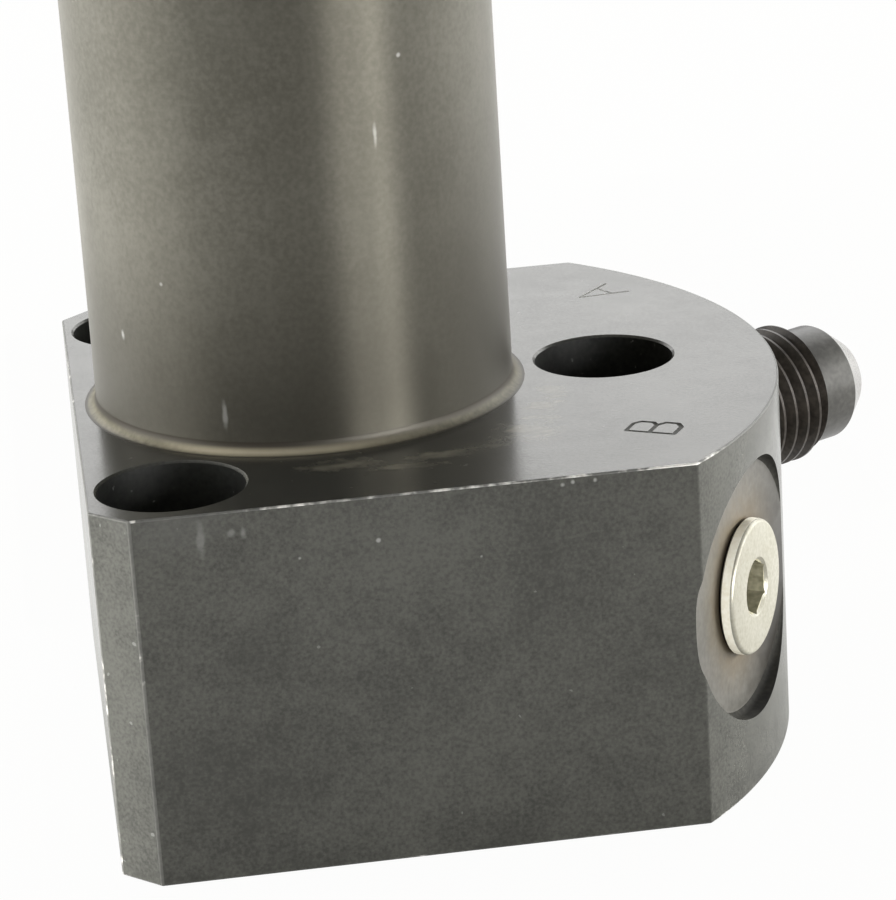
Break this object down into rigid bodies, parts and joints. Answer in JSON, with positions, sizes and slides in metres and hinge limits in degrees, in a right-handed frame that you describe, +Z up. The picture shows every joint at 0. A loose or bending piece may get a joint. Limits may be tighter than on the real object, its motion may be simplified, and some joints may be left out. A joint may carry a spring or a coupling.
{
  "type": "swing clamp cylinder",
  "caption": "Hydraulic swing clamp cylinder: flanged steel body, spring-return plunger that turns a quarter as it drops, flare fitting and port plug.",
  "frame": {"origin": "on the plunger's axis, at the underside of the flange", "axes": "+Z up along the plunger, +X towards the round nose with the single bolt hole, +Y towards port A"},
  "size_m": [0.0639, 0.0547, 0.1222],
  "materials": {
    "black_oxide": "black oxide, satin",
    "ground_steel": "ground",
    "plunger_steel": "ground and hard chromed",
    "fitting_steel": "black oxide, oiled",
    "zinc_plate": "zinc plate with a yellow passivate",
    "bronze": "machined bronze",
    "spring_steel": "oil-tempered wire",
    "seal_rubber": "moulded",
    "backup_plastic": "machined"
  },
  "bodies": {
    "housing": {"body": "black_oxide", "gland": "ground_steel", "rod_wiper": "seal_rubber", "rod_seal": "seal_rubber", "rod_backup_ring": "backup_plastic", "gland_o_ring": "seal_rubber", "gland_backup_ring": "backup_plastic", "guide_sleeve": "bronze", "spring_seat": "ground_steel", "port_plug": "zinc_plate", "plug_o_ring": "seal_rubber", "flare_fitting": "fitting_steel", "fitting_o_ring": "seal_rubber"},
    "guide_balls": {"guide_ball_1": "ground_steel", "guide_ball_2": "ground_steel", "guide_ball_3": "ground_steel"},
    "spring_pack": {"thrust_washer": "ground_steel", "return_spring": "spring_steel"},
    "plunger_group": {"plunger": "plunger_steel", "piston_seal": "seal_rubber", "piston_backup_ring": "backup_plastic", "piston_guide_ring": "bronze"}
  },
  "joints": [
    {"name": "clamp_stroke", "type": "slide", "parent": "housing", "child": "guide_balls", "axis": [0, 0, -1], "range_m": [0, 0.0081], "stiffness_N_per_m": 800, "springref_m": -0.005},
    {"name": "swing_stroke", "type": "slide", "parent": "guide_balls", "child": "spring_pack", "axis": [0, 0, -1], "range_m": [0, 0.0084], "stiffness_N_per_m": 800, "springref_m": -0.005, "deforming": ["return_spring"]},
    {"name": "swing", "type": "hinge", "parent": "spring_pack", "child": "plunger_group", "pos_m": [0, 0, 0.05], "axis": [0, 0, 1], "range_deg": [-90, 0]}
  ],
  "couplings": [
    {"joint": "swing", "follows": "swing_stroke", "rad_per_m": -186.99}
  ]
}
